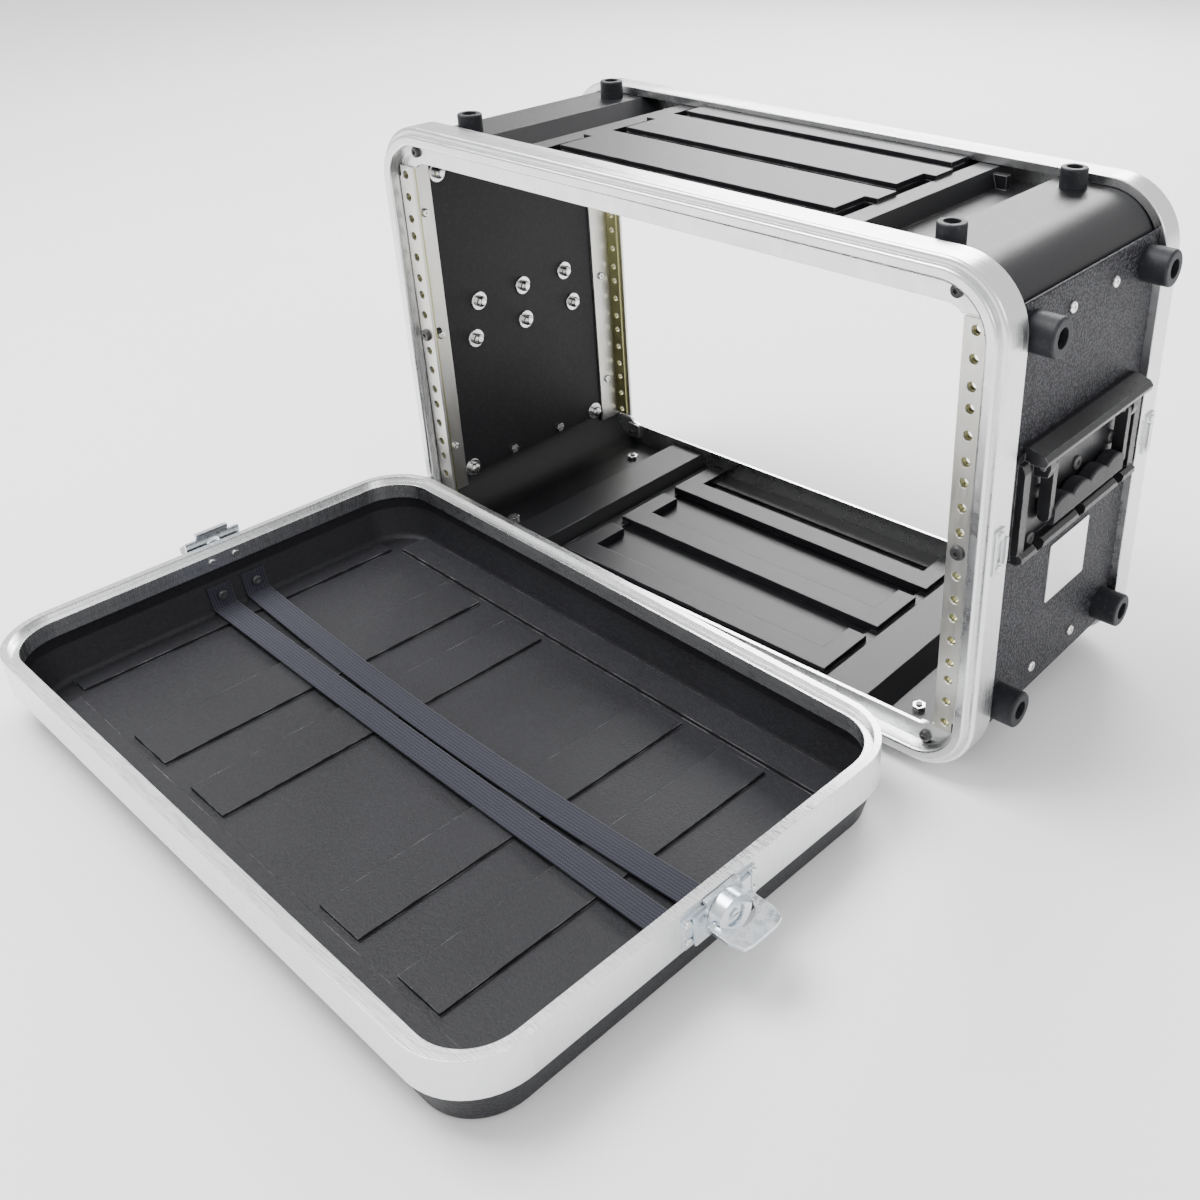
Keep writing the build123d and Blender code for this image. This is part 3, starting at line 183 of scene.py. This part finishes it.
def plastic(name, dark, light, rough, grain_scale, grain_depth, spec=0.45, edge=0.35, wear_and_highlight=(0.30, 0.30, 0.31)):
    t = Tree(name)
    broad = t.noise(7.0, 3.0)
    fine = t.noise(grain_scale, 3.0, 0.6)
    base = t.mix(t.value(broad, 0.0, 1.0, 0.3, 0.7), dark, light)
    speck = t.ramp(t.noise(grain_scale * 0.55, 2.0), [(0.46, (0, 0, 0)), (0.62, (1, 1, 1))])
    base = t.mix(t.math("MULTIPLY", speck, 0.25), base, tuple(c * 1.7 for c in light))
    # edges lightened in scuffed patches: partly worn plastic, partly a painted highlight along the edges
    edges, normal = t.edge_light(0.0009)
    scuff_and_highlight = t.ramp(t.noise(55.0, 5.0), [(0.45, (0, 0, 0)), (0.7, (1, 1, 1))])
    base = t.mix(t.math("MULTIPLY", t.math("MULTIPLY", edges, scuff_and_highlight), edge), base, wear_and_highlight)
    t.to("Base Color", base)
    t.to("Roughness", t.value(fine, rough - 0.07, rough + 0.10, 0.3, 0.7))
    t.bump(fine, 0.55, grain_depth, normal)
    t.set(Specular_IOR_Level=spec, IOR=1.5)
    return t.mat


def pebble(name):
    t = Tree(name)
    cells = t.voronoi(620.0, "SMOOTH_F1", smooth=0.6)
    lumps = t.noise(950.0, 2.0, 0.5)
    height = t.math("ADD", t.value(cells, 1.0, 0.0, 0.0, 0.8), t.math("MULTIPLY", lumps, 0.7))
    col = t.ramp(height, [(0.35, (0.002, 0.002, 0.003)), (0.75, (0.006, 0.006, 0.008)), (1.0, (0.05, 0.05, 0.06))])
    dust = t.ramp(t.noise(260.0, 3.0, 0.7), [(0.50, (0, 0, 0)), (0.68, (1, 1, 1))])
    col = t.mix(t.math("MULTIPLY", dust, 0.13), col, (0.12, 0.12, 0.13))
    t.to("Base Color", col)
    t.to("Roughness", t.value(lumps, 0.42, 0.62, 0.3, 0.7))
    t.bump(height, 0.7, 0.0004)
    t.set(Specular_IOR_Level=0.2)
    return t.mat


def brushed(name, color, rough, stretch, tint=None, aniso=0.5, mottling=0.06, metallic=1.0, edge=0.3, crevice_shade_reach=0.006):
    t = Tree(name)
    lines = t.noise(1.0, 4.0, 0.65, vector=t.mapping(stretch))
    cloud = t.noise(14.0, 4.0, 0.6)
    dark = tuple(c * (1 - 2.2 * mottling) for c in color)
    base = t.mix(t.value(cloud, 0.0, 1.0, 0.3, 0.7), dark, color)
    if tint is not None:
        patches = t.ramp(t.noise(38.0, 3.0, 0.6, distortion=0.6), [(0.42, (0, 0, 0)), (0.62, (1, 1, 1))])
        base = t.mix(t.math("MULTIPLY", patches, 0.6), base, tint)
    smut = t.ramp(t.noise(120.0, 5.0, 0.7), [(0.56, (0, 0, 0)), (0.78, (1, 1, 1))])
    base = t.mix(t.math("MULTIPLY", smut, 0.16), base, tuple(c * 0.45 for c in color))
    # painted highlight: every edge lightened towards a brighter metal colour
    edges, normal = t.edge_light(0.0006)
    base = t.mix(t.math("MULTIPLY", edges, edge), base, tuple(min(1.0, c * 1.25) for c in color))
    # painted shade: colour darkened in grooves and crevices by ambient occlusion
    base = t.mix(t.crevice_shade(crevice_shade_reach), base, tuple(c * 0.2 for c in color))
    t.to("Base Color", base)
    t.to("Roughness", t.value(lines, rough - 0.06, rough + 0.12, 0.3, 0.7))
    t.bump(lines, 0.16, 0.00012, normal)
    t.set(Metallic=metallic, Anisotropic=aniso)
    return t.mat


def plated(name, color, rough, blue=None):
    t = Tree(name)
    cloud = t.noise(60.0, 4.0, 0.6)
    spangle = t.voronoi(240.0)
    base = t.mix(t.value(cloud, 0.0, 1.0, 0.3, 0.7), tuple(c * 0.82 for c in color), color)
    if blue is not None:
        base = t.mix(t.math("MULTIPLY", t.value(t.noise(90.0, 3.0), 0.0, 1.0, 0.4, 0.65), 0.55), base, blue)
    # painted highlight: every edge lightened towards near white
    edges, normal = t.edge_light(0.0004)
    base = t.mix(t.math("MULTIPLY", edges, 0.35), base, (0.95, 0.95, 0.95))
    t.to("Base Color", base)
    t.to("Roughness", t.value(spangle, rough, rough + 0.14, 0.0, 0.9))
    t.bump(cloud, 0.18, 0.0001, normal)
    t.set(Metallic=1.0)
    return t.mat


def rubber(name, dark, light, rough):
    t = Tree(name)
    fine = t.noise(1400.0, 2.0, 0.6)
    broad = t.noise(45.0, 4.0, 0.6)
    base = t.mix(t.value(broad, 0.0, 1.0, 0.3, 0.7), dark, light)
    chalk = t.ramp(t.noise(300.0, 4.0, 0.7), [(0.55, (0, 0, 0)), (0.8, (1, 1, 1))])
    base = t.mix(t.math("MULTIPLY", chalk, 0.3), base, (0.10, 0.10, 0.105))
    # painted highlight: every edge lightened to a paler grey
    edges, normal = t.edge_light(0.0007)
    base = t.mix(t.math("MULTIPLY", edges, 0.4), base, (0.13, 0.13, 0.135))
    t.to("Base Color", base)
    t.to("Roughness", t.value(fine, rough - 0.05, rough + 0.1, 0.3, 0.7))
    t.bump(fine, 0.4, 0.00015, normal)
    t.set(Specular_IOR_Level=0.28, Sheen_Weight=0.02, Sheen_Roughness=0.5)
    return t.mat


def woven(name):
    """Elastic webbing: long cords along the strap crossed by fine rubber-backed picks (uses the UV in metres)."""
    t = Tree(name)
    uv = t.nodes.new("ShaderNodeTexCoord").outputs["UV"]
    sep = t.nodes.new("ShaderNodeSeparateXYZ")
    t.link(uv, sep.inputs[0])
    along = t.math("SINE", t.math("MULTIPLY", sep.outputs[0], 2 * math.pi / 0.0017), 0.0)
    across = t.math("SINE", t.math("MULTIPLY", sep.outputs[1], 2 * math.pi / 0.0021), 0.0)
    weave = t.math("MULTIPLY", along, across)
    height = t.math("ADD", t.math("MULTIPLY", weave, 0.5), t.math("MULTIPLY", across, 0.5))
    fuzz = t.noise(900.0, 3.0, 0.6)
    col = t.ramp(t.value(height, 0.0, 1.0, -1.0, 1.0), [(0.2, (0.006, 0.006, 0.010)), (0.8, (0.034, 0.035, 0.050))])
    col = t.mix(t.math("MULTIPLY", fuzz, 0.25), col, (0.06, 0.06, 0.08))
    t.to("Base Color", col)
    t.to("Roughness", t.value(fuzz, 0.6, 0.85))
    t.bump(t.math("ADD", height, t.math("MULTIPLY", fuzz, 0.5)), 0.8, 0.0003)
    t.set(Sheen_Weight=0.08, Sheen_Roughness=0.4, Specular_IOR_Level=0.2)
    return t.mat


def painted(name, dark, light, rough):
    t = Tree(name)
    peel = t.noise(420.0, 2.0, 0.5)
    broad = t.noise(30.0, 4.0, 0.6)
    base = t.mix(t.value(broad, 0.0, 1.0, 0.3, 0.7), dark, light)
    # edges lightened in worn patches: partly worn paint, partly a painted highlight along the edges
    edges, normal = t.edge_light(0.0008)
    wear_and_highlight = t.ramp(t.noise(160.0, 5.0, 0.7), [(0.42, (0, 0, 0)), (0.6, (1, 1, 1))])
    amount = t.math("MULTIPLY", t.math("MULTIPLY", edges, wear_and_highlight), 0.85)
    base = t.mix(amount, base, (0.42, 0.42, 0.43))
    t.to("Base Color", base)
    t.to("Roughness", t.value(peel, rough - 0.05, rough + 0.12, 0.3, 0.7))
    t.bump(peel, 0.3, 0.0002, normal)
    t.set(Specular_IOR_Level=0.5, Coat_Weight=0.15, Coat_Roughness=0.3)
    return t.mat


MATERIALS = {
    "shell_plastic": plastic("ribbed_shell_plastic", (0.004, 0.004, 0.005), (0.009, 0.009, 0.011), 0.36, 1500.0, 0.00022, 0.34, 0.8, (0.45, 0.45, 0.45)),
    "panel_plastic": pebble("pebble_panel_plastic"),
    "board_plastic": plastic("inner_board_plastic", (0.010, 0.0095, 0.0115), (0.017, 0.0165, 0.0185), 0.48, 700.0, 0.0001, 0.22, 0.1),
    "valance_aluminium": brushed("satin_anodised_aluminium", (0.80, 0.805, 0.81), 0.26, (60, 1400, 60), aniso=0.35, mottling=0.03),
    "joiner_steel": brushed("joiner_steel", (0.62, 0.63, 0.64), 0.34, (900, 40, 900)),
    "rail_steel": brushed("zinc_rail_steel", (0.74, 0.735, 0.71), 0.36, (900, 900, 40), tint=(0.66, 0.64, 0.56), mottling=0.08),
    "yellow_zinc": brushed("yellow_passivated_zinc", (0.46, 0.43, 0.22), 0.33, (700, 700, 60), tint=(0.36, 0.38, 0.17), mottling=0.1),
    "black_screws": painted("black_screw_oxide", (0.012, 0.012, 0.012), (0.025, 0.025, 0.026), 0.36),
    "bright_screws": plated("bright_nickel_plate", (0.84, 0.84, 0.83), 0.16),
    "dark_screws": painted("dark_screw_finish", (0.03, 0.03, 0.032), (0.06, 0.06, 0.062), 0.34),
    "rubber_black": rubber("moulded_rubber", (0.006, 0.007, 0.009), (0.013, 0.014, 0.018), 0.5),
    "handle_metal": painted("black_powder_coat", (0.005, 0.005, 0.006), (0.011, 0.011, 0.013), 0.34),
    "pin_steel": plated("pin_steel_plate", (0.62, 0.62, 0.62), 0.25),
    "grip_rubber": rubber("grip_rubber_skin", (0.008, 0.008, 0.010), (0.018, 0.018, 0.021), 0.46),
    "label_metal": brushed("blank_label_plate", (0.86, 0.86, 0.87), 0.34, (60, 60, 1200), aniso=0.4, mottling=0.03),
    "keeper_steel": plated("keeper_zinc_plate", (0.78, 0.79, 0.80), 0.26),
    "latch_zinc": plated("bluish_zinc_plate", (0.80, 0.83, 0.86), 0.20, (0.58, 0.70, 0.80)),
    "webbing": woven("elastic_webbing"),
}
LID_PLASTIC = plastic(
    "lid_grained_plastic", (0.006, 0.006, 0.008), (0.013, 0.013, 0.016), 0.52, 620.0, 0.0006, 0.3, 0.9, (0.35, 0.35, 0.36)
)

for row in frame["record"]["subparts"]:
    node = bpy.data.objects[row["node"]]
    mat = LID_PLASTIC if row["node"] == "lid_shell" else MATERIALS[row["material_slot"]]
    if node.material_slots:
        for s in node.material_slots:
            s.material = mat
    else:
        node.data.materials.append(mat)


# ---------------------------------------------------------------- lid straps
def lid_frame():
    """World matrix of the lid: origin at the rim centre, x along its long side."""
    joints = {j["name"]: j for j in frame["record"]["behaviour"]["joints"]}
    a = Vector(joints["latch_turn_right"]["pos_m"])
    b = Vector(joints["latch_turn_left"]["pos_m"])
    x = (a - b).normalized()
    z = Vector((0, 0, 1))
    y = z.cross(x)
    mid = (a + b) / 2 + z * 0.013
    m = Matrix((x, y, z)).transposed().to_4x4()
    m.translation = mid
    return m


LID = lid_frame()


def strap_path(n=240):
    """Centre line in the lid's X and Z (m): flat run, soft bends, turned-up ends."""
    pts = []
    half, low, end, top = 0.2405, -0.0464, 0.2461, -0.0300
    for i in range(n + 1):
        s = i / n
        x = -half + 2 * half * s
        pts.append((x, low))
    bend = []
    for k in range(1, 13):
        u = k / 12
        bend.append((half + (end - half) * (u ** 0.8), low + (top - low) * u ** 1.25))
    return [(-x, z) for x, z in reversed(bend)] + pts + bend


def make_strap(name, node, y_mid, bow):
    width, thick = 0.018, 0.0016
    path = strap_path()
    cols = 14
    me = bpy.data.meshes.new(name)
    bm = bmesh.new()
    uv_layer = bm.loops.layers.uv.new("UVMap")
    rings, dist = [], [0.0]
    for a, b in zip(path, path[1:]):
        dist.append(dist[-1] + math.hypot(b[0] - a[0], b[1] - a[1]))
    for i, (x, z) in enumerate(path):
        j0, j1 = max(0, i - 1), min(len(path) - 1, i + 1)
        tx, tz = path[j1][0] - path[j0][0], path[j1][1] - path[j0][1]
        length = math.hypot(tx, tz)
        nx, nz = -tz / length, tx / length
        centre = y_mid + bow * math.cos(math.pi * x / 0.5)
        ripple = 0.00035 * math.sin(x * 61.0 + y_mid * 900)
        ring = []
        for side in (1, -1):
            span = range(cols + 1) if side == 1 else range(cols, -1, -1)
            for c in span:
                v = c / cols * 2 - 1
                crown = 0.5 * thick * (1 - 0.25 * abs(v) ** 6)
                rib = 0.00012 * math.cos(v * math.pi * 7)
                h = side * (crown + rib) + ripple * (1 - v * v)
                p = Vector((x + nx * h, centre + v * width / 2, z + nz * h))
                ring.append(bm.verts.new(LID @ p))
        rings.append(ring)
    m = len(rings[0])
    for i in range(len(rings) - 1):
        for j in range(m):
            k = (j + 1) % m
            f = bm.faces.new((rings[i][j], rings[i][k], rings[i + 1][k], rings[i + 1][j]))
            f.smooth = True
            vs = [(dist[i], j), (dist[i], j + 1), (dist[i + 1], j + 1), (dist[i + 1], j)]
            for loop, (d, c) in zip(f.loops, vs):
                cc = c if c <= cols else 2 * cols + 1 - c
                loop[uv_layer].uv = (d, cc / cols * width)
    for end in (0, -1):
        f = bm.faces.new(rings[end] if end else list(reversed(rings[0])))
        f.smooth = False
    bmesh.ops.recalc_face_normals(bm, faces=bm.faces)
    bm.to_mesh(me)
    bm.free()
    ob = bpy.data.objects.new(name, me)
    bpy.context.scene.collection.objects.link(ob)
    me.materials.append(MATERIALS["webbing"])
    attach(ob, "lid")
    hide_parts(node)
    return ob


make_strap("strap_near_webbing", "strap_near", -0.008, -0.0015)
make_strap("strap_far_webbing", "strap_far", 0.019, -0.0085)


# ---------------------------------------------------------------- floor and light
FLOOR_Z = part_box("bottom_feet")[0][2]


def make_floor():
    """Wide pale floor at the height of the lower feet."""
    me = bpy.data.meshes.new("studio_floor")
    bm = bmesh.new()
    n, half = 60, 14.0
    grid = []
    for i in range(n + 1):
        row = []
        for j in range(n + 1):
            x = -half + 2 * half * i / n
            y = -half + 2 * half * j / n
            row.append(bm.verts.new((x, y, FLOOR_Z)))
        grid.append(row)
    for i in range(n):
        for j in range(n):
            bm.faces.new((grid[i][j], grid[i + 1][j], grid[i + 1][j + 1], grid[i][j + 1]))
    bm.to_mesh(me)
    bm.free()
    ob = bpy.data.objects.new("studio_floor", me)
    bpy.context.scene.collection.objects.link(ob)
    t = Tree("pale_floor")
    t.to("Base Color", t.ramp(t.noise(3.0, 2.0), [(0.3, (0.95, 0.95, 0.95)), (0.7, (0.97, 0.97, 0.97))]))
    t.set(Roughness=0.65, Specular_IOR_Level=0.25)
    me.materials.append(t.mat)
    return ob


make_floor()


def area(name, location, target, size, power, size_y=None, color=(1, 1, 1)):
    data = bpy.data.lights.new(name, "AREA")
    data.energy = power
    data.color = color
    data.size = size
    if size_y:
        data.shape = "RECTANGLE"
        data.size_y = size_y
    ob = bpy.data.objects.new(name, data)
    ob.location = location
    ob.rotation_euler = (Vector(target) - Vector(location)).to_track_quat("-Z", "Y").to_euler()
    bpy.context.scene.collection.objects.link(ob)
    return ob


area("key_softbox", (-0.9, -0.5, 2.0), (0, -0.1, 0), 1.3, 85, 1.3)
area("back_softbox", (-1.1, 2.2, 1.5), (0, 0, 0), 1.6, 90, 1.2)
area("right_softbox", (2.2, -0.3, 1.1), (0, 0, 0), 1.0, 16, 1.0)

world = bpy.data.worlds.new("studio_world")
bpy.context.scene.world = world
world.use_nodes = True
background = world.node_tree.nodes["Background"]
background.inputs["Color"].default_value = (1, 1, 1, 1)
background.inputs["Strength"].default_value = 1.15

# ---------------------------------------------------------------- camera
cam_data = bpy.data.cameras.new("photo_camera")
cam_data.sensor_width = 36.0
cam_data.lens = 39.69
cam_data.shift_x = -0.1425
cam_data.shift_y = -0.0825
cam_data.clip_start = 0.02
cam = bpy.data.objects.new("photo_camera", cam_data)
cam.location = (0.548, -0.560, 0.382)
az, el = math.radians(-38.8), math.radians(29.25)
direction = Vector((math.sin(az) * math.cos(el), math.cos(az) * math.cos(el), -math.sin(el)))
cam.rotation_euler = direction.to_track_quat("-Z", "Y").to_euler()
bpy.context.scene.collection.objects.link(cam)
bpy.context.scene.camera = cam
